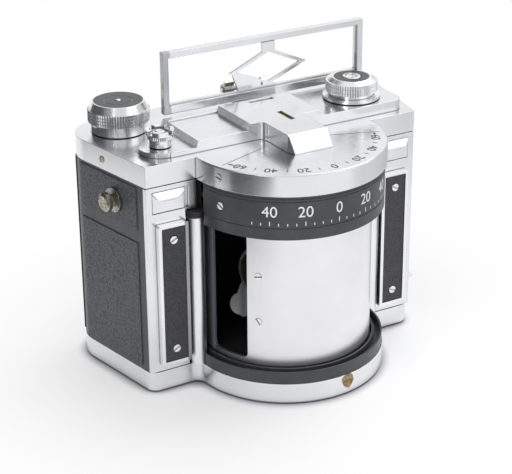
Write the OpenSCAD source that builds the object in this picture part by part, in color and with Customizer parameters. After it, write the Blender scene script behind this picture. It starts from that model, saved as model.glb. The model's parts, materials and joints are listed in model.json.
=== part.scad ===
// Panoramic still camera for 120 roll film with a swinging lens drum.
// The drum's upright axis is x = 0, y = 0. The front faces -y and the base stands on z = 0.

/* [Body] */
// Width of the front between the outer plate edges
front_w = 140; // [132:1:148]
// Distance from the drum axis to the rear face
rear_y = 66; // [64:0.5:70]
// Sideways centre of the rounded rear corners
corner_x = 61; // [58:0.5:63]
// Radius of the rounded rear corners
corner_r = 17.6; // [16:0.2:19]
// Height of the chrome base band
base_h = 9.8; // [8.5:0.1:11]
// Height of the black body between base and top cover
body_h = 90; // [88:0.5:94]
// Height of the chrome top cover band
cover_h = 9.8; // [8.5:0.1:11]
// Wall thickness of the body and the back
wall = 2.5; // [2:0.1:3]
// Thickness of the chrome front plates
plate_t = 2; // [1.5:0.1:2.4]
// Radius of the base around the drum
base_r = 45.3; // [44.8:0.1:46]
// Radius of the top cover around the drum
cover_r = 45.6; // [45:0.1:46.5]

/* [Drum] */
// Outer radius of the lens drum
drum_r = 39.2; // [38.4:0.1:39.4]
// Height of the lens axis above the base
lens_z = 49; // [48:0.5:50]
// Angle the drum swings from left stop to right stop
swing = 143; // [140:1:152]
// Width of the drum window
window_w = 20; // [17:0.5:26]
// Height of the drum window
window_h = 59.6; // [52:0.2:60]
// Teeth of the drum gear
drum_teeth = 78; // [78:1:78]
// Teeth of the setting pinion
setting_teeth = 26; // [26:1:26]
// Teeth of the governor pinion
governor_teeth = 16; // [14:1:18]
// Gear module
gear_m = 1; // [1:0.1:1]

/* [Film path] */
// Radius of the film plane around the drum axis
film_r = 50; // [49.8:0.1:50.4]
// Height of the exposed picture
picture_h = 52; // [48:0.5:54]
// Sideways position of the spools
spool_x = 58.5; // [58.3:0.1:59.5]
// Depth position of the spools
spool_y = 48.4; // [47.5:0.1:48.8]
// Radius of the spool flanges
spool_r = 12.5; // [12:0.1:12.6]
// Length of the spool
spool_len = 65.2; // [64:0.1:66]
// Radius of the film guide rollers
roller_r = 4; // [3.5:0.1:4.4]

/* [Top controls] */
// Radius of the wind knob's knurl
wind_r = 14; // [12.5:0.1:14.4]
// Height of the wind knob
wind_h = 14.2; // [12:0.1:16]
// Radius of the setting knob's flange
setting_r = 13.4; // [12:0.1:13.8]
// Travel of the release button
release_travel = 2.5; // [1.5:0.1:2.8]

/* [Finder] */
// Outer width of the finder frame
finder_w = 106.6; // [90:0.2:108]
// Height of the finder frame
finder_h = 29; // [25:0.5:33]
// Sideways centre of the finder frame
finder_x = 12.9; // [10:0.1:14]

/* [Fits] */
// Radial clearance of running fits
run = 0.05; // [0.02:0.01:0.09]
// Gap between parts that move past each other
gap = 0.4; // [0.35:0.05:0.6]

/* [Hidden] */
$fn = 72;
base_rim = 5.8;
drum_out = min(drum_r, base_r - base_rim);
top_seam = base_h + body_h;
top_z = top_seam + cover_h;
split_y = spool_y;
flare = asin(corner_r / norm([front_w / 2 - corner_x, rear_y - corner_r]))
    - atan2(front_w / 2 - corner_x, rear_y - corner_r);
corner_y = rear_y - corner_r;
floor_top = base_h + 2.8;
spool_gap = 1.4;
window_rim = 4.2;
window_low = 1.5;
gate_rim = 8;
deck_z = lens_z + max(spool_len / 2 + spool_gap, window_h / 2 + window_rim, picture_h / 2 + gate_rim);
deck_top = deck_z + 2;
front_in = plate_t + wall;
column_r = 3.8;
cap_r = 4.4;
column_gap = 3.2;
column_x = max(base_r + 0.9, drum_out + column_gap + column_r);
open_x = column_x + cap_r + 0.3;
back_y = cap_r + 0.3;
back_t = 1.4;
trap_x = drum_out + 1.8;
rest =-swing / 2;
drum_z0 = floor_top + 0.9;
drum_z1 = deck_z - 1.8;
disc_t = 2;
board_y = 10;
board_w = 2 * sqrt((drum_out - 1.5) * (drum_out - 1.5) - (board_y + 2) * (board_y + 2)) - 0.7;
barrel_r = 12.4;
horn_h = picture_h / 2 + 1;
front_glass_r = 11.4;
rear_glass_r = 10.4;
gate_in = film_r - 1.2;
gear_z = deck_top + 2;
gear_h = 2.5;
can_z = gear_z + gear_h + 1;
can_h = 6.2;
bridge_z = can_z + can_h;
setting_p = [48, 20];
governor_a = 130;
governor_d = gear_m * (drum_teeth + governor_teeth) / 2;
governor_p = [governor_d * cos(governor_a), governor_d * sin(governor_a)];
step1_z = top_z + 2.3;
step2_z = top_z + 5.1;
step3_z = top_z + 8.2;
release_p = [-55, 14.6];
wind_p = [-spool_x, spool_y];
roller_a = 13.4;
roller_p = (film_r + roller_r + 2) * [cos(roller_a), sin(roller_a)];
pin_y = 47;
pin_z = top_z + 9.9;
frame_y = 40;
frame_z0 = top_z + 6.4;
foot_w = 3.6;
band_r = cover_r - 1;
band_z0 = deck_z - 3.5;
ring_r = base_r - 0.3;
ring_in = drum_out + 1;
ring_z1 = base_h + 5.7;
cap_z0 = deck_z - 0.4;
cap_h = 2.9;
skin_low = base_h + 2.2;
skin_top = top_seam - 1.4;
skin_split = skin_top - 19.8;
skin_rib = 6.2;
skin_y = 6.5;
skin_t = 0.5;
stud_y = 21.9;
stud_z = top_seam - 11.4;
stud_r = 5.6;
catch_z0 = top_seam - 12.8;
catch_z1 = top_seam - 2.6;
panel_x0 = open_x + 0.3;
panel_x1 = front_w / 2 - 4.1;
panel_z0 = base_h + 4;
panel_z1 = cap_z0 - 0.5;
bezel_w = 1.6;
bezel_t = 3;
skin_sink = 0.4;
screw_z = [panel_z0 + 7.6, panel_z1 - 7.6];
band_screw_z = top_seam - 8.3;
rim_bevel = 0.5;
seam_gap = 0.45;
head_x = band_r + 0.8;
head_z = cap_z0 + cap_h + 0.5;
catch_in = 51.5;
catch_out = 66.9;
catch_notch = 2.3;
slide = 0.12;
foot_in = 0.6;
foot_h = 0.8;
drum_screw_side = [-33, 22.5];
drum_screw_z = [-12, 10];
drum_screw_turn = [55, -8];

// Half width of the flared side at depth y, moved inwards by d
function side_x(y, d) = corner_x + (corner_r - d + (y - corner_y) * sin(flare)) / cos(flare);

// Outline of the body seen from above, inset by d, front line at yf, front corners rounded by rf
module plan(d = 0, yf = 0, rf = 0) {
    r = corner_r - d;
    // the straight sides lie a hair inside the corner arcs
    ri = r - 0.01;
    cx = side_x(yf + rf, d + rf + 0.01);
    bend = rf > 0 ? [[cx + rf * cos(flare), yf + rf - rf * sin(flare)]] : [];
    half = concat([[cx, yf]], bend,
                  [[corner_x + ri * cos(flare), corner_y - ri * sin(flare)], [corner_x, corner_y + ri]]);
    other = [for (i = [len(half) - 1:-1:0]) [-half[i][0], half[i][1]]];
    polygon(concat(half, other));
    for (s = [-1, 1]) {
        translate([s * corner_x, corner_y]) circle(r);
        if (rf > 0) translate([s * cx, yf + rf]) circle(rf + 0.01);
    }
}

// Wedge of half angle a about the rear direction
module wedge(a) {
    polygon([[0, 0], [120 * sin(a), 120 * cos(a)], [120, 120], [-120, 120],
             [-120 * sin(a), 120 * cos(a)]]);
}

module ring(r1, r0, h) {
    difference() {
        cylinder(r = r1, h = h);
        translate([0, 0, -1]) cylinder(r = r0, h = h + 2);
    }
}

module both_sides() {
    children();
    mirror([1, 0, 0]) children();
}

// Involute flank point of a gear with base radius rb at roll angle t
function flank(rb, t) = rb * [cos(t) + t * PI / 180 * sin(t), sin(t) - t * PI / 180 * cos(t)];
function turn(p, a) = [p[0] * cos(a) - p[1] * sin(a), p[0] * sin(a) + p[1] * cos(a)];
function roll(rb, r) = sqrt(max(0, r * r / (rb * rb) - 1)) * 180 / PI;

// Spur gear outline with n teeth, one tooth centred on angle a0
module gear_2d(n, a0 = 0) {
    rp = gear_m * n / 2;
    rb = rp * cos(20);
    rt = rp + 0.9 * gear_m;
    rr = rp - 1.15 * gear_m;
    rs = max(rb, rr);
    tp = roll(rb, rp);
    inv = tp - atan(tp * PI / 180);
    half = 90 / n - inv - 3.5 / rp;
    radii = [for (k = [0:3]) rs + (rt - rs) * k / 3];
    up = [for (r = radii) turn(flank(rb, roll(rb, r)), -half - 2 * inv)];
    low = [for (p = up) [p[0], p[1]]];
    foot = rr * [cos(180 / n), -sin(180 / n)];
    root = rr * [cos(half + inv + 0.4), -sin(half + inv + 0.4)];
    tooth = concat([foot, root], [for (p = low) p], [for (k = [3:-1:0]) [low[k][0], -low[k][1]]],
                   [[root[0], -root[1]]]);
    polygon([for (i = [0:n - 1]) for (p = tooth) turn(p, a0 + i * 360 / n)]);
}

// Slotted screw head on the z = 0 plane, looking up
module slot_screw(r, h) {
    difference() {
        cylinder(r = r, h = h, $fn = 32);
        translate([-r - 1, -0.16 * r - 0.1, h - 0.45]) cube([2 * r + 2, 0.32 * r + 0.2, 1]);
    }
}

// Knurled ring outline with n ridges
module knurl(r, n, d) {
    polygon([for (i = [0:2 * n - 1]) (i % 2 == 0 ? r : r - d) * [cos(i * 180 / n), sin(i * 180 / n)]]);
}

module base_outline(d) {
    rf = 5;
    fx = sqrt((base_r + rf) * (base_r + rf) - rf * rf);
    difference() {
        union() {
            plan(d, d, rf - d);
            circle(base_r - d);
            if (d == 0) translate([-fx, -rf * base_r / (base_r + rf)]) square([2 * fx, 9]);
        }
        if (d == 0) for (s = [-1, 1]) translate([s * fx, -rf]) circle(rf);
    }
}

module base_plate() {
    color("silver") difference() {
        union() {
            translate([0, 0, foot_h]) linear_extrude(base_h - foot_h) base_outline(0);
            linear_extrude(foot_h + 1) base_outline(foot_in);
        }
        translate([0, 0, 2.4]) linear_extrude(base_h) base_outline(2.4);
        translate([0, 0, -1]) cylinder(r = 8, h = 10);
    }
}

module tripod_bush() {
    color("silver") difference() {
        union() {
            cylinder(r = 8, h = base_h - 0.6);
            translate([0, 0, 2.4]) cylinder(r = 12, h = 1.6);
        }
        translate([0, 0, -1]) cylinder(r = 3.18, h = 8.5);
    }
}

module shell_walls() {
    difference() {
        intersection() {
            difference() {
                plan(0, plate_t);
                plan(wall, front_in);
            }
            translate([-100, 0]) square([200, split_y]);
        }
        translate([-open_x, -1]) square([2 * open_x, front_in + 2]);
    }
    // light trap behind the columns, joined to the front wall
    both_sides() {
        translate([trap_x, back_y]) square([open_x + back_t - trap_x, back_t]);
        translate([open_x, front_in - 1]) square([back_t, back_y + back_t - front_in + 1]);
    }
}

// Floor or deck let into the walls, with a round front of radius r under the drum
module shell_level(r) {
    intersection() {
        plan(wall / 2, front_in - wall / 2);
        difference() {
            translate([-100, 0]) square([200, split_y]);
            translate([-open_x, -1]) square([2 * open_x, back_y + 1]);
        }
    }
    plan(wall + 0.7, back_y);
    circle(r);
}

module body_shell() {
    color([0.15, 0.16, 0.17]) difference() {
        union() {
            translate([0, 0, base_h]) linear_extrude(body_h) shell_walls();
            translate([0, 0, base_h]) linear_extrude(floor_top - base_h) shell_level(drum_out + 0.9);
            translate([0, 0, deck_z]) linear_extrude(deck_top - deck_z) shell_level(drum_out + 2.5);
        }
        translate([0, 0, base_h - 1]) cylinder(r = 6, h = 5);
        translate([0, 0, deck_z - 1]) cylinder(r = 8, h = 5);
        translate([wind_p[0], wind_p[1], deck_z - 1]) cylinder(r = 3 + run, h = 5);
        translate([setting_p[0], setting_p[1], deck_z - 1]) cylinder(r = 1.5 + run, h = 5);
        translate([governor_p[0], governor_p[1], deck_z - 1]) cylinder(r = 1 + run, h = 5);
    }
}

module cover_outline(d) {
    plan(d, d);
    circle(cover_r - d);
}

module top_cover() {
    color("silver") difference() {
        translate([0, 0, top_seam]) linear_extrude(cover_h) cover_outline(0);
        translate([0, 0, top_seam - 1]) linear_extrude(cover_h - 0.4) cover_outline(1.6);
        rotate([0, 0, 180]) rotate_extrude(angle = 180)
            polygon([[cover_r - rim_bevel, top_z + 0.01], [cover_r + 1, top_z + 0.01],
                     [cover_r + 1, top_z - rim_bevel], [cover_r, top_z - rim_bevel]]);
        for (a = [-70, 70]) rotate([0, 0, a]) translate([0, -cover_r + 0.3, top_seam + cover_h / 2 + 0.2])
            rotate([90, 0, 0]) cylinder(r = 1.6, h = 3, $fn = 32);
        translate([wind_p[0], wind_p[1], top_seam]) cylinder(r = 3 + run, h = cover_h + 1);
        translate([setting_p[0], setting_p[1], top_seam]) cylinder(r = 4, h = cover_h + 1);
        translate([release_p[0], release_p[1], top_seam]) cylinder(r = 2.2, h = cover_h + 1);
    }
}

// Side view of a step in the top housing: sloped left end, upright right end
module step_block(x0, x1, y0, y1, h, slope) {
    foot = x0 - slope;
    intersection() {
        translate([0, y1, top_z]) rotate([90, 0, 0])
            linear_extrude(y1 - y0) polygon([[foot, 0], [x1, 0], [x1, h], [x0, h]]);
        // small facet on the front corner of the slope
        translate([0, 0, top_z - 1]) linear_extrude(h + 2)
            polygon([[foot - 1, y1 + 1], [foot - 1, y0 + step_facet + 1], [foot + step_facet + 1, y0 - 1],
                     [x1 + 1, y0 - 1], [x1 + 1, y1 + 1]]);
    }
}

nose_x0 = -9;
nose_x1 = 11;
nose_y = -20.5;
step2_x0 = -41.5;
step2_x1 = 67.2;
step_turn = 5.2;
step_facet = 1.7;
step3_x0 = -15.5;
step3_x1 = 21;
step_y0 = 4.4;
step_y1 = 33;

module housing_solid() {
    h1 = step1_z - top_z;
    h2 = step2_z - top_z;
    h3 = step3_z - top_z;
    // low tongue that carries the release
    translate([release_p[0], release_p[1], top_z]) cylinder(r = 9.8, h = h1);
    translate([release_p[0], step_y0, top_z]) cube([step2_x0 - release_p[0], 19.6, h1]);
    // middle step on both sides
    step_block(step2_x0, 30, step_y0, step_y1 + step_turn, h2, 2.4);
    turn_x = step2_x1 - step_turn;
    translate([29, step_y0, top_z]) cube([turn_x - 29, step_y1 + step_turn - step_y0, h2]);
    translate([turn_x - 1, step_y0 + step_turn, top_z]) cube([step_turn + 1, step_y1 - step_turn - step_y0, h2]);
    for (y = [step_y0 + step_turn, step_y1]) translate([turn_x, y, top_z]) cylinder(r = step_turn, h = h2);
    // rim along the rear of the left step
    translate([step2_x0, step_y1 - 0.4, top_z]) cube([26, 3.6, h2 + 0.8]);
    // upper step and nose
    step_block(step3_x0, step3_x1, step_y0, step_y1, h3, 3.2);
    intersection() {
        translate([nose_x0, 0, 0]) rotate([90, 0, 90]) linear_extrude(nose_x1 - nose_x0 + 3)
            polygon([[step_y0 + 2, top_z], [nose_y, top_z], [nose_y + 3.1, step3_z - 0.5],
                     [nose_y + 3.8, step3_z], [step_y0 + 2, step3_z]]);
        translate([0, 0, top_z - 1]) linear_extrude(h3 + 2)
            polygon([[nose_x0, step_y0 + 3], [nose_x0, nose_y + 3.6], [nose_x0 + 1.6, nose_y],
                     [nose_x1 + 2, nose_y], [nose_x1 + 2, step_y0 + 3]]);
        upright(step_y0 + 3, step_y0 + 4 - nose_y)
            polygon([[nose_x0, top_z], [nose_x1 + 1.2, top_z], [nose_x1, step3_z], [nose_x0, step3_z]]);
    }
    // hollow fillet between step and nose on the left
    translate([nose_x0, step_y0, top_z]) linear_extrude(h3) difference() {
        translate([-3.2, -3.2]) square([3.3, 3.3]);
        translate([-3.2, -3.2]) circle(3.2);
    }
}

module top_housing() {
    color("silver") difference() {
        housing_solid();
        // hollow undersides
        translate([step3_x0 + 1.4, step_y0 + 2, top_z - 1]) cube([8, 26, 7.6]);
        translate([nose_x0 + 2, nose_y + 5, top_z - 1]) cube([nose_x1 - nose_x0 - 4, 18, 4.6]);
        translate([step2_x0 + 1.5, step_y0 + 2, top_z - 1]) cube([22.5, 30, 4.6]);
        translate([24, step_y0 + 2, top_z - 1]) cube([12, 30, 4.6]);
        // level slots with the beds of the vials
        translate([2.6, 0, step3_z - 2.4]) cube([2.6, 12.4, 4]);
        translate([3.9, 14, step3_z - 2.7]) rotate([90, 0, 0]) cylinder(r = 2, h = 15.6, $fn = 32);
        translate([-1.4, 28.6, step3_z - 2.4]) cube([12.6, 2.6, 4]);
        translate([-3, 29.9, step3_z - 2.7]) rotate([0, 90, 0]) cylinder(r = 2, h = 15.8, $fn = 32);
        translate([setting_p[0], setting_p[1], top_z - 1]) cylinder(r = 3 + run, h = 12);
        translate([release_p[0], release_p[1], top_z - 1]) cylinder(r = 1.5 + run, h = 12);
    }
}

module level_vials() {
    color([0.55, 0.6, 0.3, 0.6]) {
        translate([3.9, 14, step3_z - 2.7]) rotate([90, 0, 0]) cylinder(r = 2, h = 15.6, $fn = 32);
        translate([-3, 29.9, step3_z - 2.7]) rotate([0, 90, 0]) cylinder(r = 2, h = 15.8, $fn = 32);
    }
}

// Right-hand front plate with the pocket of its catch
module front_plate() {
    difference() {
        translate([0, 0, base_h + seam_gap]) linear_extrude(body_h - 2 * seam_gap) intersection() {
            plan(0, 0);
            translate([head_x, 0]) square([40, plate_t]);
        }
        // room for the column below the plate's head
        translate([head_x - 1, -1, base_h]) cube([open_x - head_x + 1, plate_t + 2, head_z - base_h]);
        translate([catch_in - catch_notch, -1, catch_z0])
            cube([catch_out - catch_in + catch_notch + slide, plate_t - 0.7 + 1, catch_z1 - catch_z0]);
    }
}

module front_plate_l() {
    color("silver") mirror([1, 0, 0]) front_plate();
}

module front_plate_r() {
    color("silver") front_plate();
}

// Rounded upright rectangle seen from the front
module panel(x0, x1, z0, z1, r) {
    translate([x0 + r, z0]) square([x1 - x0 - 2 * r, z1 - z0]);
    translate([x0, z0 + r]) square([x1 - x0, z1 - z0 - 2 * r]);
    for (x = [x0 + r, x1 - r]) for (z = [z0 + r, z1 - r]) translate([x, z]) circle(r, $fn = 32);
}

module upright(y, t) {
    translate([0, y, 0]) rotate([90, 0, 0]) linear_extrude(t) children();
}

// Leather insert inside the bezel
module insert_outline() {
    panel(panel_x0 + bezel_w, panel_x1 - bezel_w, panel_z0 + bezel_w, panel_z1 - bezel_w, 0.4);
}

module bezels() {
    color("silver") both_sides() upright(0, bezel_t) difference() {
        panel(panel_x0, panel_x1, panel_z0, panel_z1, 0.9);
        insert_outline();
    }
}

module front_leather() {
    color([0.3, 0.31, 0.34]) both_sides() upright(0, bezel_t - skin_sink) difference() {
        insert_outline();
        for (z = screw_z) translate([(panel_x0 + panel_x1) / 2, z]) circle(1.8, $fn = 32);
    }
}

module case_screws() {
    color("silver") {
        // leather inserts
        both_sides() for (z = screw_z) translate([(panel_x0 + panel_x1) / 2, 0, z])
            rotate([90, 25, 0]) slot_screw(1.8, bezel_t);
        // black band
        for (a = [-70, 70]) rotate([0, 0, a]) translate([0, -band_r + 0.6, band_screw_z])
            rotate([90, 30, 0]) slot_screw(1.7, 0.9);
        // rim and sides of the top cover
        for (a = [-70, 70]) rotate([0, 0, a]) translate([0, -cover_r + 0.3, top_seam + cover_h / 2 + 0.2])
            rotate([90, 15, 0]) slot_screw(1.6, 0.75);
        both_sides() translate([side_x(31, 0), 31, top_seam + 4.6]) rotate([0, 90, -flare])
            slot_screw(1.5, 0.5);
    }
}

module columns() {
    color("silver") both_sides() translate([column_x, 0, base_h]) difference() {
        cylinder(r = column_r, h = cap_z0 - base_h);
        translate([0, 0, cap_z0 - base_h - 2.8]) cylinder(r = 1.6, h = 4, $fn = 32);
    }
}

module column_caps() {
    color([0.1, 0.1, 0.11]) both_sides() translate([column_x, 0, base_h]) {
        translate([0, 0, cap_z0 - base_h]) difference() {
            cylinder(r = cap_r, h = cap_h);
            for (z = [0.8, 1.8]) translate([0, 0, z]) ring(cap_r + 1, cap_r - 0.3, 0.4);
        }
        translate([0, 0, cap_z0 - base_h - 2.8]) cylinder(r = 1.6, h = 3, $fn = 32);
    }
}

// Front part of a round band, cut short of the columns
module front_sector(r1, r0) {
    intersection() {
        difference() {
            circle(r1);
            circle(r0);
        }
        translate([-100, -100]) square([200, 100 + column_r]);
    }
}

module lower_ring() {
    color([0.12, 0.13, 0.14]) translate([0, 0, base_h]) difference() {
        linear_extrude(ring_z1 - base_h) front_sector(ring_r, ring_in);
        translate([0, 0, 2.4]) linear_extrude(10) front_sector(ring_r - 0.9, ring_in + 1);
        both_sides() translate([column_x, 0, -1]) cylinder(r = column_r + 0.2, h = 20);
    }
}

// Room in the band for the columns and their caps
module band_reliefs() {
    both_sides() translate([column_x, 0, band_z0 - 1])
        cylinder(r = cap_r + 0.4, h = top_seam - band_z0 + 2);
}

module upper_band() {
    color([0.25, 0.27, 0.28]) difference() {
        translate([0, 0, band_z0]) linear_extrude(top_seam - band_z0) front_sector(band_r, band_r - 2.6);
        for (z = [band_z0 + 5.1, top_seam - 3, top_seam - 1.7]) translate([0, 0, z])
            ring(band_r + 1, band_r - 0.35, 0.5);
        band_reliefs();
        for (a = [-70, 70]) rotate([0, 0, a]) translate([0, -band_r + 0.6, band_screw_z])
            rotate([90, 0, 0]) cylinder(r = 1.7, h = 3, $fn = 32);
    }
    color([0.25, 0.27, 0.28]) difference() {
        translate([0, 0, band_z0]) linear_extrude(2) front_sector(band_r - 2.4, drum_out + 1.1);
        band_reliefs();
    }
}

module side_skin(z0, z1, y0, y1) {
    translate([0, 0, z0]) linear_extrude(z1 - z0) intersection() {
        difference() {
            plan(-skin_t, plate_t);
            plan(0, plate_t);
        }
        translate([-100, y0]) square([200, y1 - y0]);
    }
}

module at_studs() {
    both_sides() translate([side_x(stud_y, 0), stud_y, stud_z]) rotate([0, 90, -flare]) children();
}

module side_leather_upper() {
    color([0.3, 0.31, 0.34]) difference() {
        side_skin(skin_split, skin_top, skin_y, split_y - 0.6);
        at_studs() translate([0, 0, -2]) cylinder(r = stud_r, h = 6);
    }
}

module side_leather_lower() {
    color([0.3, 0.31, 0.34]) side_skin(skin_low, skin_split - skin_rib, skin_y, split_y - 0.6);
}

module strap_studs() {
    color([0.55, 0.5, 0.38]) at_studs() {
        cylinder(r = stud_r, h = 1.8);
        cylinder(r = 2.5, h = 5);
        translate([0, 0, 4.4]) cylinder(r = 4.3, h = 1.8);
        translate([0, 0, 6.2]) cylinder(r1 = 4.3, r2 = 3.2, h = 0.8);
    }
}

// Small wedge-shaped lug low on the right side
module side_tab() {
    color("silver") translate([side_x(3.6, 0), 3.6, skin_low + 10.5]) rotate([90, 0, -flare])
        linear_extrude(2.4, center = true) polygon([[0, 0], [3.3, 0.4], [3.3, 1], [0.4, 4.2], [0, 4.2]]);
}

module film_gate() {
    color([0.16, 0.16, 0.17]) translate([0, 0, floor_top]) difference() {
        linear_extrude(deck_z - floor_top) intersection() {
            difference() {
                circle(film_r, $fn = 144);
                circle(gate_in, $fn = 144);
            }
            translate([-100, back_y + back_t + 0.1]) square([200, 100]);
        }
        translate([0, 0, lens_z - picture_h / 2 - floor_top]) linear_extrude(picture_h) intersection() {
            difference() {
                circle(film_r + 2);
                circle(gate_in - 2);
            }
            wedge(69);
        }
    }
}

module roller_pins() {
    color("silver") both_sides() translate([roller_p[0], roller_p[1], floor_top])
        cylinder(r = 1.5, h = deck_z - floor_top, $fn = 32);
}

module roller() {
    z0 = floor_top + 1;
    h = deck_z - floor_top - 2;
    difference() {
        union() {
            translate([0, 0, z0]) cylinder(r = roller_r - 0.6, h = h);
            translate([0, 0, z0]) cylinder(r = roller_r, h = 7);
            translate([0, 0, z0 + h - 7]) cylinder(r = roller_r, h = 7);
        }
        translate([0, 0, z0 - 1]) cylinder(r = 1.5 + run, h = h + 2, $fn = 32);
    }
}

module roller_l() {
    color("silver") translate([-roller_p[0], roller_p[1], 0]) roller();
}

module roller_r() {
    color("silver") translate([roller_p[0], roller_p[1], 0]) roller();
}

spool_z0 = lens_z - spool_len / 2;

module spool_pins() {
    color("silver") {
        for (s = [-1, 1]) translate([s * spool_x, spool_y, floor_top]) {
            cylinder(r = 4, h = 2.6, $fn = 32);
            cylinder(r = 2.3, h = 9, $fn = 32);
        }
        translate([spool_x, spool_y, deck_z - 4.5]) cylinder(r = 2.3, h = 4.5, $fn = 32);
    }
}

module drum_bushes() {
    color([0.75, 0.6, 0.3]) {
        translate([0, 0, base_h]) ring(6, 3 + run, floor_top - base_h);
        translate([0, 0, deck_z]) ring(8, 4 + run, 3);
    }
}

module bridge() {
    color([0.75, 0.6, 0.3]) difference() {
        union() {
            translate([0, 0, bridge_z]) linear_extrude(2)
                polygon([[-50, 26], [-8, -9], [9, -9], [27, 44], [16, 54], [-30, 46], [-48, 37]]);
            for (p = [[-44, 31], [19, 47]]) translate([p[0], p[1], deck_top])
                cylinder(r = 3, h = bridge_z - deck_top + 0.5, $fn = 32);
        }
        translate([0, 0, bridge_z - 1]) cylinder(r = 4 + run, h = 5);
        translate([governor_p[0], governor_p[1], bridge_z - 1]) cylinder(r = 1 + run, h = 5, $fn = 32);
        translate([-8, 27, bridge_z - 1]) cylinder(r = 8, h = 5);
    }
}

module mainspring_can() {
    color([0.75, 0.6, 0.3]) translate([0, 0, can_z]) difference() {
        cylinder(r = 17, h = can_h);
        translate([0, 0, 1]) ring(15.6, 6, can_h - 2);
        translate([0, 0, -1]) cylinder(r = 4 + gap, h = 20);
    }
}

// Parts of the drum are drawn with the lens facing -y and then turned to the rest position
module at_rest() {
    rotate([0, 0, rest]) children();
}

module drum_shell() {
    color("silver") at_rest() difference() {
        translate([0, 0, drum_z0 + disc_t]) ring(drum_out, drum_out - 1.5, drum_z1 - drum_z0 - 2 * disc_t);
        upright(-drum_out + 19, 20) panel(-window_w / 2, window_w / 2, lens_z - window_h / 2 - window_low,
                                        lens_z + window_h / 2, 2.6);
        translate([-6.4, 20, lens_z - picture_h / 2 - 3]) cube([12.8, drum_out, picture_h + 6]);
        for (a = drum_screw_side) rotate([0, 0, a]) for (z = drum_screw_z)
            translate([0, -drum_out + 0.5, lens_z + z]) rotate([90, 0, 0]) cylinder(r = 1.7, h = 2, $fn = 32);
    }
}

module drum_screws() {
    color("silver") at_rest() for (a = drum_screw_side) rotate([0, 0, a]) for (i = [0, 1])
        translate([0, -drum_out + 0.5, lens_z + drum_screw_z[i]])
            rotate([90, drum_screw_turn[i], 0]) slot_screw(1.7, 0.75);
}

module drum_base() {
    color("silver") translate([0, 0, drum_z0]) {
        cylinder(r = drum_out, h = disc_t);
        translate([0, 0, base_h + 0.4 - drum_z0]) cylinder(r = 3, h = drum_z0 - base_h);
    }
}

module drum_top() {
    color("silver") {
        translate([0, 0, drum_z1 - disc_t]) cylinder(r = drum_out, h = disc_t);
        translate([0, 0, drum_z1 - 0.5]) cylinder(r = 4, h = bridge_z + 1.6 - drum_z1);
    }
}

module drum_gear() {
    color([0.75, 0.6, 0.3]) difference() {
        union() {
            translate([0, 0, gear_z]) linear_extrude(gear_h) gear_2d(drum_teeth, 0);
            translate([0, 0, gear_z - 0.6]) cylinder(r = 9, h = gear_h + 1.2);
        }
        translate([0, 0, gear_z - 2]) cylinder(r = 4, h = 8);
        for (a = [30:60:330]) rotate([0, 0, a]) translate([23, 0, gear_z - 1]) cylinder(r = 8, h = 6);
    }
}

module lens_board() {
    color([0.12, 0.12, 0.13]) at_rest() difference() {
        translate([-board_w / 2, board_y, drum_z0 + disc_t])
            cube([board_w, 2, drum_z1 - drum_z0 - 2 * disc_t]);
        translate([0, board_y - 1, lens_z]) rotate([-90, 0, 0]) cylinder(r = barrel_r, h = 4);
    }
}

// Solid turned about the lens axis, measured from the drum axis towards the film
module on_lens(y) {
    at_rest() translate([0, y, lens_z]) rotate([-90, 0, 0]) children();
}

module lens_barrel() {
    color([0.14, 0.14, 0.15]) on_lens(-17) difference() {
        union() {
            translate([0, 0, -1.3]) cylinder(r = 12.6, h = 6.3);
            translate([0, 0, 4.6]) cylinder(r = 13.9, h = 0.4);
            translate([0, 0, 4.8]) cylinder(r = 13.4, h = 9.2);
            translate([0, 0, 13.9]) cylinder(r = 14.8, h = board_y + 3.1);
            translate([0, 0, board_y + 16.9]) cylinder(r = barrel_r, h = 4.6);
        }
        translate([0, 0, -2.3]) cylinder(r = front_glass_r, h = 9.8);
        translate([0, 0, 7]) cylinder(r = 9.6, h = 17);
        translate([0, 0, 22]) cylinder(r = rear_glass_r, h = 12);
    }
}

module lens_glass() {
    color([0.5, 0.6, 0.75, 0.4]) {
        on_lens(-12.6) intersection() {
            cylinder(r = front_glass_r - 0.01, h = 3.1);
            translate([0, 0, 22]) sphere(r = 22.2);
        }
        on_lens(6) intersection() {
            cylinder(r = rear_glass_r - 0.01, h = 4);
            translate([0, 0, -26]) sphere(r = 30);
        }
    }
}

module aperture_ring() {
    color([0.14, 0.14, 0.15]) on_lens(-11.7) difference() {
        linear_extrude(7.8) knurl(16, 48, 0.4);
        translate([0, 0, -5]) cylinder(r = 13.4 + run, h = 18);
    }
}

// Leaf-shaped lever on the front of the aperture ring, bent forward to the finger
module aperture_lever() {
    color("silver") on_lens(-11.7) rotate([0, 0, 131]) {
        intersection() {
            union() {
                translate([16.1, 0, -0.8]) rotate([0, 35, 0]) linear_extrude(0.9) {
                    polygon([[-1.2, 4.6], [1.7, 5], [6, 2.4], [8, -3], [7, -8], [-1.2, -4]]);
                    translate([8, -3]) circle(5.2);
                    translate([9.6, -7.4]) circle(1.7, $fn = 32);
                }
                translate([14.4, -4.4, -0.8]) cube([1.2, 9, 0.8]);
            }
            translate([0, -30, -40]) cube([60, 60, 40]);
        }
    }
}

// Flat funnel that narrows to an upright slit just inside the film
module funnel(d, y0, y1) {
    intersection() {
        translate([0, 0, lens_z - 40]) linear_extrude(80)
            polygon([[-13 + d, y0], [13 - d, y0], [1.9 - d, y1], [-1.9 + d, y1]]);
        translate([-30, 0, 0]) rotate([90, 0, 90]) linear_extrude(60)
            polygon([[y0, lens_z - 14 + d], [y1, lens_z - horn_h + d], [y1, lens_z + horn_h - d],
                     [y0, lens_z + 14 - d]]);
    }
}

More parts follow.
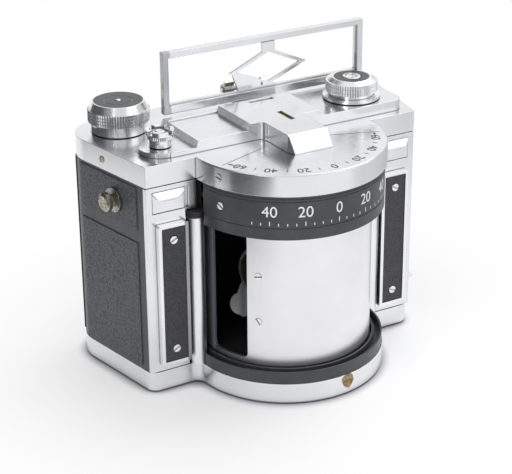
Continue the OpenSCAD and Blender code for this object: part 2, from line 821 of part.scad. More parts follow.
module slit_horn() {
    color([0.12, 0.12, 0.13]) at_rest() difference() {
        funnel(0, board_y + 2, gate_in - 0.7);
        funnel(0.8, board_y + 1.9, gate_in - 0.6);
        translate([0, board_y - 1, lens_z]) rotate([-90, 0, 0]) cylinder(r = barrel_r, h = 6);
    }
}

// Phase that puts pinion teeth into the gaps of the drum gear, b the direction of the pinion
function mesh_phase(b, n) = b + 180 - (0.5 - (b * drum_teeth / 360 - floor(b * drum_teeth / 360))) * 360 / n;

module setting_shaft() {
    b = atan2(setting_p[1], setting_p[0]);
    color([0.75, 0.6, 0.3]) translate([setting_p[0], setting_p[1], 0]) {
        translate([0, 0, deck_z + 0.3]) cylinder(r = 1.5, h = 4, $fn = 32);
        translate([0, 0, deck_top + gap]) cylinder(r = 3, h = step2_z + 2 - deck_top - gap);
        translate([0, 0, gear_z]) linear_extrude(gear_h) gear_2d(setting_teeth, mesh_phase(b, setting_teeth));
    }
}

module setting_knob() {
    color("silver") translate([setting_p[0], setting_p[1], step2_z + gap]) difference() {
        union() {
            cylinder(r = setting_r, h = 1.3);
            cylinder(r = 10.6, h = 3.4);
            translate([0, 0, 3.2]) linear_extrude(5) knurl(12.2, 64, 0.45);
            translate([0, 0, 8.1]) cylinder(r1 = 11.4, r2 = 9.2, h = 1.5);
        }
        translate([0, 0, -1]) cylinder(r = 3, h = 2.6);
        translate([0, 0, 9]) cylinder(r = 8.3, h = 2);
        translate([0, 0, 4.4]) ring(14, 11.95, 0.4);
        translate([0, 0, 6.4]) ring(14, 11.95, 0.4);
    }
}

module setting_disc() {
    color([0.1, 0.1, 0.11]) translate([setting_p[0], setting_p[1], step2_z + gap + 9]) {
        ring(8.3, 4.6, 0.7);
    }
}

module governor() {
    color([0.75, 0.6, 0.3]) translate([governor_p[0], governor_p[1], 0]) {
        translate([0, 0, deck_z + 0.3]) cylinder(r = 1, h = bridge_z + 1.5 - deck_z, $fn = 32);
        translate([0, 0, deck_top + gap]) cylinder(r = 2, h = bridge_z - deck_top - 2 * gap, $fn = 32);
        translate([0, 0, gear_z]) linear_extrude(gear_h)
            gear_2d(governor_teeth, mesh_phase(governor_a, governor_teeth));
        translate([-9, -0.6, can_z]) cube([18, 1.2, can_h - 1]);
    }
}

module wind_shaft() {
    color("silver") translate([wind_p[0], wind_p[1], 0]) {
        z1 = spool_z0 + spool_len;
        translate([0, 0, z1]) cylinder(r = 3, h = top_z + 2 - z1);
        translate([-3.4, -0.7, z1 - 4.4]) cube([6.8, 1.4, 4.6]);
    }
}

module wind_knob() {
    color("silver") translate([wind_p[0], wind_p[1], top_z + gap]) difference() {
        union() {
            cylinder(r = 12.6, h = 5);
            translate([0, 0, 4.7]) linear_extrude(5.7) knurl(wind_r, 72, 0.5);
            translate([0, 0, 10.3]) cylinder(r1 = wind_r - 0.6, r2 = 11.8, h = wind_h - gap - 10.3);
        }
        translate([0, 0, -1]) cylinder(r = 3, h = 2.6);
        translate([0, 0, wind_h - gap - 0.7]) cylinder(r = 11.2, h = 2);
        for (z = [6, 7.4, 8.8]) translate([0, 0, z]) ring(wind_r + 2, wind_r - 0.35, 0.4);
    }
}

module wind_disc() {
    color([0.1, 0.1, 0.11]) translate([wind_p[0], wind_p[1], top_z + wind_h - 0.7]) difference() {
        cylinder(r = 11.2, h = 0.6);
        translate([0, 0, 0.4]) ring(6.6, 6, 1);
    }
}

module take_up_spool() {
    color([0.15, 0.15, 0.16]) translate([wind_p[0], wind_p[1], spool_z0]) difference() {
        union() {
            cylinder(r = spool_r, h = 1.2);
            cylinder(r = 5.6, h = spool_len);
            translate([0, 0, spool_len - 1.2]) cylinder(r = spool_r, h = 1.2);
        }
        translate([0, 0, -1]) cylinder(r = 2.3 + run, h = 10, $fn = 32);
        translate([-3.6, -0.9, spool_len - 4.6]) cube([7.2, 1.8, 6]);
        translate([-0.8, -8, 15]) cube([1.6, 16, spool_len - 30]);
    }
}

module release_tube() {
    color("silver") translate([release_p[0], release_p[1], step1_z]) ring(3.4, 2.4 + run, 5.2);
}

module release_button() {
    color("silver") translate([release_p[0], release_p[1], 0]) {
        translate([0, 0, step1_z + 0.6 + release_travel]) cylinder(r = 2.4, h = 7.3 - 0.6 - release_travel - 0.6);
        translate([0, 0, step1_z + 6.6]) cylinder(r1 = 2.4, r2 = 1.7, h = 0.7);
        translate([0, 0, deck_top + 6]) cylinder(r = 1.5, h = step1_z + 4 - deck_top - 6, $fn = 32);
        translate([0, 0, deck_top + 6]) cylinder(r = 3, h = 1.2, $fn = 32);
    }
}

module release_collar() {
    color("silver") translate([release_p[0], release_p[1], step1_z + gap]) difference() {
        union() {
            cylinder(r = 4.8, h = 3.6);
            translate([0, 0, 3.5]) linear_extrude(2) knurl(5.5, 36, 0.3);
            translate([0, 0, 5.4]) cylinder(r = 6.3, h = 2.2);
        }
        translate([0, 0, -1]) cylinder(r = 3.4 + run, h = 10);
        translate([0, 0, 5.5]) cylinder(r = 4.5, h = 4);
        for (a = [20, 110]) rotate([0, 0, a]) translate([-8, -1.3, 6.1]) cube([16, 2.6, 4]);
    }
}

bar_w = 2.6;
bar_d = 3;
lip_w = 0.9;
lip_d = 1.4;
ears = [6, 11.6];
cheeks = [2.6, 14.5];

module finder_frame() {
    x0 = finder_x - finder_w / 2;
    color("silver") difference() {
        union() {
            upright(frame_y + bar_d / 2, bar_d) difference() {
                translate([x0, frame_z0]) square([finder_w, finder_h]);
                translate([x0 + bar_w, frame_z0 + foot_w]) square([finder_w - 2 * bar_w, finder_h - bar_w - foot_w]);
            }
            upright(frame_y + bar_d / 2, lip_d) difference() {
                translate([x0 + bar_w - 0.1, frame_z0 + foot_w - 0.1])
                    square([finder_w - 2 * bar_w + 0.2, finder_h - bar_w - foot_w + 0.2]);
                translate([x0 + bar_w + lip_w, frame_z0 + foot_w + lip_w])
                    square([finder_w - 2 * bar_w - 2 * lip_w, finder_h - bar_w - foot_w - 2 * lip_w]);
            }
            for (x = ears) translate([x, 0, 0]) {
                translate([0, pin_y, pin_z]) rotate([0, 90, 0]) cylinder(r = 2.4, h = 2.5, $fn = 32);
                translate([0, frame_y + 1, frame_z0 + 1]) cube([2.5, pin_y - frame_y - 1, foot_w - 1]);
            }
        }
        translate([0, pin_y, pin_z]) rotate([0, 90, 0]) cylinder(r = 1.2 + run, h = 40, $fn = 32);
    }
}

module finder_sight() {
    cx = finder_x + 1.8;
    zc = frame_z0 + 13.4;
    zt = frame_z0 + finder_h - bar_w - lip_w;
    zb = frame_z0 + foot_w + lip_w;
    color("silver") difference() {
        union() {
            upright(frame_y + 0.5, 1) polygon([[cx - 20.7, zc], [cx, zc - 8.6], [cx + 20.7, zc], [cx, zc + 9]]);
            upright(frame_y + 0.5, 1) polygon([[cx - 19.4, zc - 0.5], [cx, zc - 6], [cx + 4, zb], [cx - 16.1, zb]]);
            translate([cx - 3.4, frame_y - 0.5, zc + 7]) cube([6.8, 1, zt - zc - 7]);
        }
        upright(frame_y + 2, 4) polygon([[cx - 16.6, zc], [cx, zc - 6.9], [cx + 16.6, zc], [cx, zc + 7.3]]);
        translate([cx - 4, frame_y - 2, zb + 0.6]) cube([0.8, 4, 1.6]);
    }
}

module finder_block() {
    color("silver") difference() {
        union() {
            translate([1.6, 43.4, top_z]) cube([cheeks[1] + 3, 7.6, 5]);
            for (x = cheeks) translate([x, 0, 0]) {
                translate([0, pin_y, pin_z]) rotate([0, 90, 0]) cylinder(r = 2.7, h = 3, $fn = 32);
                translate([0, pin_y - 2.7, top_z]) cube([3, 5.4, pin_z - top_z]);
            }
        }
        translate([0, pin_y, pin_z]) rotate([0, 90, 0]) cylinder(r = 1.2, h = 40, $fn = 32);
    }
}

module finder_pin() {
    color("silver") translate([-6.4, pin_y, pin_z]) rotate([0, 90, 0]) cylinder(r = 1.2, h = cheeks[1] + 9.4, $fn = 32);
}

module finder_wing() {
    color([0.55, 0.5, 0.38]) translate([-5.6, pin_y, pin_z]) rotate([0, 90, 0]) difference() {
        union() {
            cylinder(r = 2.6, h = 7.6, $fn = 32);
            rotate([0, 0, 25]) translate([-4.8, -0.7, 0]) cube([9.6, 1.4, 5]);
        }
        translate([0, 0, -1]) cylinder(r = 1.2 + run, h = 12, $fn = 32);
    }
}

module back_plan() {
    difference() {
        plan(0);
        plan(wall);
        translate([-100, -50]) square([200, 50 + split_y + gap]);
    }
}

module back_cover() {
    color([0.15, 0.16, 0.17]) translate([0, 0, base_h + gap]) linear_extrude(body_h - 2 * gap) back_plan();
}

module back_leather() {
    color([0.3, 0.31, 0.34]) side_skin(skin_low, skin_top, split_y + 6, rear_y + 1);
}

module pressure_plate() {
    back_in = rear_y - wall - 0.02;
    color([0.16, 0.16, 0.17]) {
        translate([0, 0, lens_z - picture_h / 2 - 5]) linear_extrude(picture_h + 10) intersection() {
            difference() {
                circle(film_r + 1.5, $fn = 144);
                circle(film_r + 0.4, $fn = 144);
            }
            wedge(61);
        }
        // leaf springs between plate and back wall
        for (s = [-1, 1]) translate([0, 0, lens_z + s * 18 - 4]) linear_extrude(8)
            polygon([[-20, back_in], [-20, back_in - 0.8], [-6, film_r + 1.2], [6, film_r + 1.2],
                     [20, back_in - 0.8], [20, back_in], [19, back_in], [5.4, film_r + 2],
                     [-5.4, film_r + 2], [-19, back_in]]);
    }
}

// Finger catch whose lip narrows downwards, drawn for the right-hand plate
module finger_catch() {
    x0 = catch_in;
    x1 = catch_out;
    y1 = plate_t - 0.7 - gap;
    z1 = catch_z1 - slide;
    translate([x0, 0, catch_z0 + gap]) cube([x1 - x0, y1, z1 - catch_z0 - gap]);
    intersection() {
        translate([x0, 0, 0]) rotate([90, 0, 90]) linear_extrude(x1 - x0)
            polygon([[0.1, catch_z1 - 2.6], [-1.2, catch_z1 - 3.4], [-2.1, catch_z1 - 4],
                     [-2.1, catch_z1 - 3.3], [-0.3, z1], [0.1, z1]]);
        upright(1, 4) polygon([[x0, z1], [x1, z1], [x1, catch_z1 - 0.6], [x1 - 3, catch_z1 - 4.2],
                               [x0 + 4.8, catch_z1 - 4.2], [x0, catch_z1 - 1.6]]);
    }
}

module catch_l() {
    color("silver") mirror([1, 0, 0]) finger_catch();
}

module catch_r() {
    color("silver") finger_catch();
}

base_plate();
tripod_bush();
body_shell();
top_cover();
top_housing();
level_vials();
front_plate_l();
front_plate_r();
bezels();
front_leather();
case_screws();
columns();
column_caps();
lower_ring();
upper_band();
side_leather_upper();
side_leather_lower();
strap_studs();
side_tab();
film_gate();
roller_pins();
spool_pins();
drum_bushes();
bridge();
mainspring_can();
release_tube();
finder_block();
finder_pin();
drum_shell();
drum_base();
drum_top();
drum_gear();
drum_screws();
lens_board();
lens_barrel();
lens_glass();
slit_horn();
aperture_ring();
aperture_lever();
setting_knob();
setting_disc();
setting_shaft();
governor();
wind_knob();
wind_disc();
wind_shaft();
take_up_spool();
release_button();
release_collar();
finder_frame();
finder_sight();
finder_wing();
back_cover();
back_leather();
pressure_plate();
catch_l();
catch_r();
roller_l();
roller_r();
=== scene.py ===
"""Studio scene of a swing-lens panoramic camera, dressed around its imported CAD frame."""
import json
import math

import bmesh
import bpy
from mathutils import Matrix, Vector


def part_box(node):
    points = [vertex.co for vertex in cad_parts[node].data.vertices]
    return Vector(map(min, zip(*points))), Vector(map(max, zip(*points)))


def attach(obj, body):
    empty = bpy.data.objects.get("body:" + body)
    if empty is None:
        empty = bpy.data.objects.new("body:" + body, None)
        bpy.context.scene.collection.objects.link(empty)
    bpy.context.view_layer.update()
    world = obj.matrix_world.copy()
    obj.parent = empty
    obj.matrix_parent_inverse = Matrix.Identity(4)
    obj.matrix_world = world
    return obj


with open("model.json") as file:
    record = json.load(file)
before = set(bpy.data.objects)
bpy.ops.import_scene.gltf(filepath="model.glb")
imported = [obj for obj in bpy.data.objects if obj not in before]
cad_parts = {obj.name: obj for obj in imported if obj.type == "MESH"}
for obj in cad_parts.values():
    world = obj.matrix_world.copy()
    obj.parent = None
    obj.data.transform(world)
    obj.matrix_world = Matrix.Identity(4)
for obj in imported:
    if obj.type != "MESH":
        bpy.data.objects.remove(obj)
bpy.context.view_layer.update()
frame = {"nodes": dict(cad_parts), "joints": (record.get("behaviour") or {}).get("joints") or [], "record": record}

MM = 0.001
nodes = frame["nodes"]
joints = {joint["name"]: joint for joint in frame["joints"]}

# Main sizes of the object, in mm, read from the frame
top_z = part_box("top_cover")[1].z / MM
seam_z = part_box("upper_band")[1].z / MM
band_r = -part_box("upper_band")[0].y / MM
cover_r = -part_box("top_cover")[0].y / MM
base_r = -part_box("base_plate")[0].y / MM
base_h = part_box("base_plate")[1].z / MM
drum_r = -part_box("drum_base")[0].y / MM
lens_front = Vector(joints["aperture_turn"]["axis"])
lens_middle = Vector(joints["aperture_turn"]["pos_m"]) / MM


def middle(node):
    low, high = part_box(node)
    return (low + high) / 2 / MM


# Node trees: small helpers
class Nodes:
    """Short calls for the nodes of one tree, fed by one place vector."""

    def __init__(self, tree, place):
        self.tree = tree
        self.place = self.node("ShaderNodeTexCoord").outputs[place]

    def node(self, kind, **values):
        n = self.tree.nodes.new(kind)
        for key, value in values.items():
            setattr(n, key, value)
        return n

    def link(self, a, b):
        self.tree.links.new(a, b)

    def plug(self, socket, value):
        """Sets a socket to a constant, or links an output to it."""
        if isinstance(value, bpy.types.NodeSocket):
            self.link(value, socket)
        else:
            socket.default_value = value

    def math(self, operation, a, b=0.0):
        n = self.node("ShaderNodeMath", operation=operation)
        self.plug(n.inputs[0], a)
        self.plug(n.inputs[1], b)
        return n.outputs[0]

    def both(self, a, b):
        return self.math("MULTIPLY", a, b)

    def either(self, a, b):
        return self.math("MAXIMUM", a, b)

    def vector(self, operation, a, b=(0, 0, 0)):
        n = self.node("ShaderNodeVectorMath", operation=operation)
        self.plug(n.inputs[0], a)
        self.plug(n.inputs[1], b)
        return n.outputs["Value" if operation in ("DISTANCE", "LENGTH", "DOT_PRODUCT") else "Vector"]

    def along(self, direction):
        return self.vector("DOT_PRODUCT", self.place, direction)

    def spread(self, value, low, high, out_low=0.0, out_high=1.0):
        """Maps low..high to out_low..out_high and stops there."""
        n = self.node("ShaderNodeMapRange", clamp=True)
        for key, number in (("Value", value), ("From Min", low), ("From Max", high),
                            ("To Min", out_low), ("To Max", out_high)):
            self.plug(n.inputs[key], number)
        return n.outputs["Result"]

    def within(self, value, low, high, soft):
        """1 where value lies between low and high, with soft flanks."""
        return self.both(self.spread(value, low - soft, low), self.spread(value, high + soft, high))

    def mix(self, factor, a, b):
        n = self.node("ShaderNodeMix", data_type="RGBA")
        self.plug(n.inputs["Factor"], factor)
        for socket, color in ((n.inputs[6], a), (n.inputs[7], b)):
            self.plug(socket, (*color, 1) if isinstance(color, tuple) else color)
        return n.outputs[2]


class Shader(Nodes):
    """A material with a Principled shader; places and sizes in mm."""

    def __init__(self, name, color, metallic=0.0, roughness=0.5):
        self.mat = bpy.data.materials.new(name)
        self.mat.use_nodes = True
        self.mat.diffuse_color = (*color, 1)
        super().__init__(self.mat.node_tree, "Object")
        self.place = self.vector("MULTIPLY", self.place, (1 / MM, 1 / MM, 1 / MM))
        self.bsdf = self.tree.nodes["Principled BSDF"]
        self.set("Base Color", (*color, 1))
        self.set("Metallic", metallic)
        self.set("Roughness", roughness)

    def set(self, socket, value):
        self.plug(self.bsdf.inputs[socket], value)

    def current(self, socket):
        return self.bsdf.inputs[socket].links[0].from_socket

    def noise(self, cell, detail=2.0, roughness=0.5, stretch=(1, 1, 1)):
        n = self.node("ShaderNodeTexNoise")
        n.inputs["Scale"].default_value = 1 / cell
        n.inputs["Detail"].default_value = detail
        n.inputs["Roughness"].default_value = roughness
        self.link(self.vector("MULTIPLY", self.place, stretch), n.inputs["Vector"])
        return n.outputs["Fac"]

    def cells(self, cell, smooth):
        n = self.node("ShaderNodeTexVoronoi", feature="SMOOTH_F1")
        n.inputs["Scale"].default_value = 1 / cell
        n.inputs["Smoothness"].default_value = smooth
        self.link(self.place, n.inputs["Vector"])
        return n.outputs["Distance"]

    def bump(self, height, depth, strength, normal):
        n = self.node("ShaderNodeBump")
        n.inputs["Strength"].default_value = strength
        n.inputs["Distance"].default_value = depth * MM
        self.link(height, n.inputs["Height"])
        self.link(normal, n.inputs["Normal"])
        return n.outputs["Normal"]

    def rounded(self, radius):
        n = self.node("ShaderNodeBevel", samples=4)
        n.inputs["Radius"].default_value = radius * MM
        return n.outputs["Normal"]

    def edges(self, radius):
        """1 on sharp edges, 0 on flat faces."""
        face = self.node("ShaderNodeNewGeometry").outputs["Normal"]
        return self.spread(self.vector("DOT_PRODUCT", self.rounded(radius), face), 0.995, 0.85)

    def creases(self, reach):
        """1 in seams and inner corners, 0 in the open."""
        n = self.node("ShaderNodeAmbientOcclusion", samples=6)
        n.inputs["Distance"].default_value = reach * MM
        return self.spread(n.outputs["AO"], 0.85, 0.45)

    def axis_distance(self, x, y):
        """Distance from the upright line through x, y."""
        flat = self.vector("MULTIPLY", self.place, (1, 1, 0))
        return self.vector("DISTANCE", flat, (x, y, 0))


# Metals
def chrome(name, low, high, rough, edge, crease=0.75):
    """Plated metal with a fine grain, a few pits, rubbed edges and painted shade in its seams and inner corners.
    """
    s = Shader(name, high, metallic=1.0)
    cloud = s.noise(18, detail=3)
    grain = s.noise(0.2, detail=3, roughness=0.65)
    tone = s.mix(s.spread(cloud, 0.3, 0.7), low, high)
    pits = s.spread(s.noise(0.8, detail=4, roughness=0.7), 0.69, 0.76)
    tone = s.mix(s.both(pits, 0.35), tone, (0.42, 0.42, 0.42))
    rubbed = s.both(s.edges(edge), s.spread(s.noise(1.6, detail=4), 0.35, 0.7))
    tone = s.mix(s.both(rubbed, 0.6), tone, (0.93, 0.93, 0.94))
    # Painted shade: seams and inner corners darkened towards near black, as much as the crease strength allows
    s.set("Base Color", s.mix(s.both(s.creases(0.9), crease), tone, (0.10, 0.10, 0.105)))
    mixed = s.math("ADD", s.both(cloud, 0.4), s.both(grain, 0.6))
    s.set("Roughness", s.spread(mixed, 0.3, 0.7, rough - 0.05, rough + 0.05))
    s.set("Normal", s.bump(grain, 0.01, 0.2, s.rounded(edge)))
    return s


def satin_chrome():
    return chrome("satin_chrome", (0.76, 0.77, 0.79), (0.82, 0.83, 0.85), 0.21, 0.35)


def polished_chrome():
    return chrome("polished_chrome", (0.82, 0.83, 0.845), (0.88, 0.885, 0.895), 0.15, 0.2)


def post_chrome():
    """The upright columns, a little duller than the knobs."""
    return chrome("post_chrome", (0.84, 0.845, 0.86), (0.90, 0.905, 0.915), 0.34, 0.3, 0.3)


def knob_chrome():
    """Knurled knobs and the release, duller than the polished parts."""
    return chrome("knob_chrome", (0.86, 0.87, 0.88), (0.92, 0.925, 0.935), 0.23, 0.15, 0.85)


# Width of a finder post with its inner lip
POST_W = 3.6


def finder_chrome():
    """Finder frame: satin chrome, with painted shade on its left post."""
    s = chrome("finder_chrome", (0.74, 0.75, 0.77), (0.80, 0.81, 0.83), 0.24, 0.3)
    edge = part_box("finder_frame")[0].x / MM + POST_W
    post = s.spread(s.along((1, 0, 0)), edge + 0.4, edge - 0.4)
    # Painted shade: the left post is darkened where its rounding turns away from the light
    s.set("Base Color", s.mix(s.both(post, 0.6), s.current("Base Color"), (0.26, 0.275, 0.28)))
    return s


def bezel_chrome():
    """Raised frames of the inserts, with painted shade on the bar beside the left column."""
    s = chrome("bezel_chrome", (0.82, 0.83, 0.845), (0.88, 0.885, 0.895), 0.15, 0.2)
    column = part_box("columns")[0].x / MM
    bar = s.within(s.along((1, 0, 0)), column - 3.0, column - 1.0, 0.2)
    # Painted shade: the bar beside the left column is darkened as if shaded by the column
    s.set("Base Color", s.mix(s.both(bar, 0.75), s.current("Base Color"), (0.16, 0.163, 0.17)))
    return s


# Worn spot on the front of the base, with a dark dot beside it
SPOT_X, SPOT_DROP = 5.7, 3.2
SPOT = Vector((SPOT_X, -math.sqrt(base_r**2 - SPOT_X**2), base_h - SPOT_DROP))
SPOT_SHAPE = Vector((1.06, 0.3, 0.85))
DOT = SPOT + Vector((-3.9, 0.2, -1.5))


def base_chrome():
    """Satin chrome of the base, rubbed through to brass in one spot on the front."""
    s = satin_chrome()
    s.mat.name = "base_chrome"
    far = s.vector("DISTANCE", s.vector("MULTIPLY", s.place, SPOT_SHAPE), SPOT * SPOT_SHAPE)
    ragged = s.math("ADD", far, s.both(s.noise(2.6, detail=3), 3.0))
    worn = s.spread(ragged, 5.2, 4.6)
    dot = s.spread(s.vector("DISTANCE", s.place, DOT), 0.6, 0.4)
    brass = s.mix(s.spread(s.noise(1.3, detail=4), 0.35, 0.65), (0.17, 0.11, 0.05), (0.42, 0.31, 0.17))
    tone = s.mix(worn, s.current("Base Color"), brass)
    s.set("Base Color", s.mix(dot, tone, (0.08, 0.06, 0.05)))
    return s


# Wall of the drum, and the place of its dark strip across the lens axis
DRUM_WALL = 1.5
STRIP_FROM, STRIP_TO = 9.8, 23.5


def drum_silver():
    """Turned satin aluminium, blackened inside, with painted shade in its creases and a dark grey matt strip left
    of the window.
    """
    s = Shader("drum_silver", (0.85, 0.85, 0.865), metallic=1.0)
    turned = s.noise(0.5, detail=3, roughness=0.7, stretch=(0.05, 0.05, 1.0))
    cloud = s.noise(16, detail=3)
    tone = s.mix(s.spread(cloud, 0.3, 0.7), (0.82, 0.82, 0.84), (0.86, 0.86, 0.875))
    # Painted shade: creases and seams darkened
    tone = s.mix(s.both(s.creases(0.7), 0.6), tone, (0.12, 0.12, 0.125))
    inner = drum_r - DRUM_WALL
    inside = s.spread(s.axis_distance(0, 0), inner + 0.15, inner + 0.05)
    across = Vector((lens_front.y, -lens_front.x, 0))
    edge = s.within(s.along(across), STRIP_FROM, STRIP_TO, 0.2)
    strip = s.both(edge, s.spread(s.along(lens_front), 0.0, 1.0))
    tone = s.mix(strip, tone, (0.15, 0.16, 0.18))
    s.set("Base Color", s.mix(inside, tone, (0.012, 0.012, 0.013)))
    s.set("Metallic", s.spread(s.either(inside, strip), 0, 1, 1.0, 0.0))
    s.set("Roughness", s.math("ADD", s.spread(turned, 0.3, 0.7, 0.31, 0.36), s.both(inside, 0.25)))
    s.set("Normal", s.bump(turned, 0.004, 0.12, s.rounded(0.2)))
    return s


def plain_metal(name, low, high, rough_low, rough_high):
    """Bare metal with cloudy tones and painted shade in its creases."""
    s = Shader(name, high, metallic=1.0)
    tone = s.mix(s.spread(s.noise(2.5, detail=4), 0.35, 0.65), low, high)
    # Painted shade: creases, slots and corners darkened towards black
    s.set("Base Color", s.mix(s.both(s.creases(0.7), 0.85), tone, (0.05, 0.05, 0.05)))
    s.set("Roughness", s.spread(s.noise(0.3, detail=2), 0.3, 0.7, rough_low, rough_high))
    s.set("Normal", s.bump(s.noise(0.15, detail=2), 0.006, 0.15, s.rounded(0.12)))
    return s


def steel():
    return plain_metal("steel", (0.60, 0.605, 0.61), (0.76, 0.765, 0.77), 0.18, 0.30)


def brass():
    return plain_metal("brass", (0.52, 0.38, 0.16), (0.70, 0.55, 0.28), 0.22, 0.38)


def screw_nickel():
    """Bright screw heads; the one on the left of the top cover has worn to brass."""
    s = plain_metal("screw_nickel", (0.78, 0.78, 0.78), (0.88, 0.88, 0.88), 0.16, 0.28)
    on_cover = s.spread(s.along((0, 0, 1)), seam_z + 1, seam_z + 2)
    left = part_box("case_screws")[0].x / MM
    on_left = s.spread(s.along((1, 0, 0)), left + 8, left + 6)
    worn = s.both(s.both(on_cover, on_left), s.spread(s.noise(1.2, detail=3), 0.30, 0.45))
    s.set("Base Color", s.mix(worn, s.current("Base Color"), (0.58, 0.50, 0.32)))
    return s


# Direction across the lever, with the places where its leaf is bright and where painted shadow darkens its root
LEVER_ACROSS = (0.863, -0.505, 0)
LEVER_BRIGHT, LEVER_DARK = -26.5, -20.0


def lever_steel():
    """Pale matt leaf of the aperture lever, with painted shadow towards its root, where the drum wall shades it.
    """
    s = Shader("lever_steel", (0.80, 0.85, 0.88), metallic=0.1)
    tone = s.mix(s.noise(4, detail=3), (0.74, 0.79, 0.82), (0.84, 0.88, 0.90))
    root = s.spread(s.along(LEVER_ACROSS), LEVER_BRIGHT, LEVER_DARK)
    # Painted shadow: the leaf darkens towards its root, standing in for the drum wall's shadow
    s.set("Base Color", s.mix(root, tone, (0.10, 0.11, 0.12)))
    s.set("Roughness", s.spread(s.noise(0.6, detail=3), 0.3, 0.7, 0.30, 0.40))
    s.set("Normal", s.rounded(0.3))
    return s


def old_nickel():
    """Worn nickel gone brown, with bright rubbed edges and painted shade in its creases."""
    s = Shader("old_nickel", (0.34, 0.32, 0.26), metallic=1.0)
    stain = s.spread(s.noise(1.4, detail=5, roughness=0.65), 0.35, 0.65)
    tone = s.mix(stain, (0.24, 0.23, 0.18), (0.52, 0.50, 0.43))
    tone = s.mix(s.both(s.edges(0.25), 0.7), tone, (0.74, 0.72, 0.65))
    # Painted shade: creases darkened towards near black
    s.set("Base Color", s.mix(s.both(s.creases(1.2), 0.8), tone, (0.05, 0.045, 0.035)))
    s.set("Roughness", s.spread(stain, 0, 1, 0.40, 0.22))
    s.set("Normal", s.bump(s.noise(0.4, detail=3), 0.02, 0.3, s.rounded(0.2)))
    return s


def wing_nickel():
    """Wing nut of the finder: greyer nickel, with painted shade in its corners."""
    return plain_metal("wing_nickel", (0.30, 0.29, 0.26), (0.62, 0.60, 0.55), 0.20, 0.34)


# Paint, leather and glass
def paint(name, low, high, rough, scuff):
    """Satin paint with a fine orange peel and paler, scuffed edges."""
    s = Shader(name, high, roughness=rough)
    fine = s.noise(0.3, detail=3)
    tone = s.mix(s.spread(s.noise(8, detail=3), 0.3, 0.7), low, high)
    rubbed = s.both(s.edges(0.25), s.spread(s.noise(1.1, detail=4), 0.42, 0.65))
    pale = tuple(min(1.0, c + 0.16) for c in high)
    s.set("Base Color", s.mix(s.both(rubbed, scuff), tone, pale))
    s.set("Roughness", s.spread(fine, 0.3, 0.7, rough - 0.07, rough + 0.07))
    s.set("Normal", s.bump(fine, 0.012, 0.25, s.rounded(0.22)))
    return s


def black_paint():
    return paint("black_paint", (0.013, 0.013, 0.015), (0.022, 0.022, 0.025), 0.5, 0.15)


def body_paint():
    """Smooth dark enamel of the body between the leather panels."""
    return paint("body_paint", (0.045, 0.047, 0.053), (0.060, 0.062, 0.069), 0.38, 0.5)


def black_band():
    """Satin black enamel of the bands, dusty here and there."""
    s = paint("black_band", (0.036, 0.039, 0.043), (0.049, 0.053, 0.057), 0.36, 0.55)
    dust = s.spread(s.noise(0.5, detail=4, roughness=0.7), 0.62, 0.78)
    s.set("Base Color", s.mix(s.both(dust, 0.12), s.current("Base Color"), (0.30, 0.30, 0.30)))
    return s


DISC_RING_R, DISC_RING_W = 6.3, 0.6


def black_disc():
    """Black enamel of the knob discs, with a fine pale ring on the wind knob."""
    s = paint("black_disc", (0.020, 0.022, 0.024), (0.038, 0.040, 0.043), 0.32, 0.6)
    wind = middle("wind_disc")
    far = s.axis_distance(wind.x, wind.y)
    ring = s.within(far, DISC_RING_R - DISC_RING_W / 2, DISC_RING_R + DISC_RING_W / 2, 0.1)
    s.set("Base Color", s.mix(s.both(ring, 0.6), s.current("Base Color"), (0.24, 0.25, 0.26)))
    return s


# Inner radius of the lens rim, and how far ahead of the drum axis it begins
RIM_R, RIM_FRONT = 11.5, 18.0


def lens_black():
    """Barrel of the lens: black, warm brown in the mouth, with a bright front rim."""
    s = paint("lens_black", (0.016, 0.014, 0.014), (0.030, 0.026, 0.026), 0.4, 0.3)
    ahead = s.along(lens_front)
    offset = s.vector("SUBTRACT", s.place, lens_middle)
    radius = s.vector("LENGTH", s.vector("CROSS_PRODUCT", offset, lens_front))
    mouth = s.spread(radius, RIM_R + 0.1, RIM_R - 0.1)
    front = s.spread(ahead, RIM_FRONT - 0.2, RIM_FRONT + 0.1)
    rim = s.both(front, s.spread(radius, RIM_R - 0.1, RIM_R + 0.1))
    tone = s.mix(mouth, s.current("Base Color"), (0.060, 0.040, 0.036))
    s.set("Base Color", s.mix(rim, tone, (0.80, 0.79, 0.77)))
    s.set("Metallic", rim)
    return s


def pebbled(name, low, high, cell):
    """Blue-black covering of pebbles of one cell size, with paler tops and worn patches."""
    s = Shader(name, high, roughness=0.5)
    pebble = s.cells(cell, 0.55)
    crease = s.noise(cell * 1.4, detail=4, roughness=0.6)
    height = s.math("SUBTRACT", s.both(crease, 0.7), pebble)
    tops = s.spread(height, -0.45, 0.12)
    tone = s.mix(tops, low, high)
    worn = s.spread(s.noise(9, detail=4), 0.55, 0.8)
    s.set("Base Color", s.mix(s.both(worn, 0.12), tone, tuple(1.35 * c for c in high)))
    s.set("Roughness", s.spread(tops, 0, 1, 0.56, 0.38))
    s.set("Normal", s.bump(height, 0.22, 0.9, s.rounded(0.2)))
    return s


def leatherette():
    return pebbled("leatherette", (0.036, 0.039, 0.046), (0.072, 0.077, 0.090), 1.0)


def insert_leather():
    """Finer and darker leather of the front inserts."""
    return pebbled("insert_leather", (0.022, 0.022, 0.026), (0.058, 0.058, 0.068), 0.6)


def lens_glass():
    """Coated glass with a violet bloom."""
    s = Shader("lens_glass", (0.86, 0.84, 0.95))
    s.set("Transmission Weight", 1.0)
    s.set("IOR", 1.52)
    s.set("Roughness", s.spread(s.noise(3, detail=2), 0.3, 0.7, 0.02, 0.05))
    s.set("Coat Weight", 0.6)
    s.set("Coat Tint", (0.62, 0.5, 0.95, 1))
    return s


# Between the two vials
VIAL_SPLIT_Y = 25


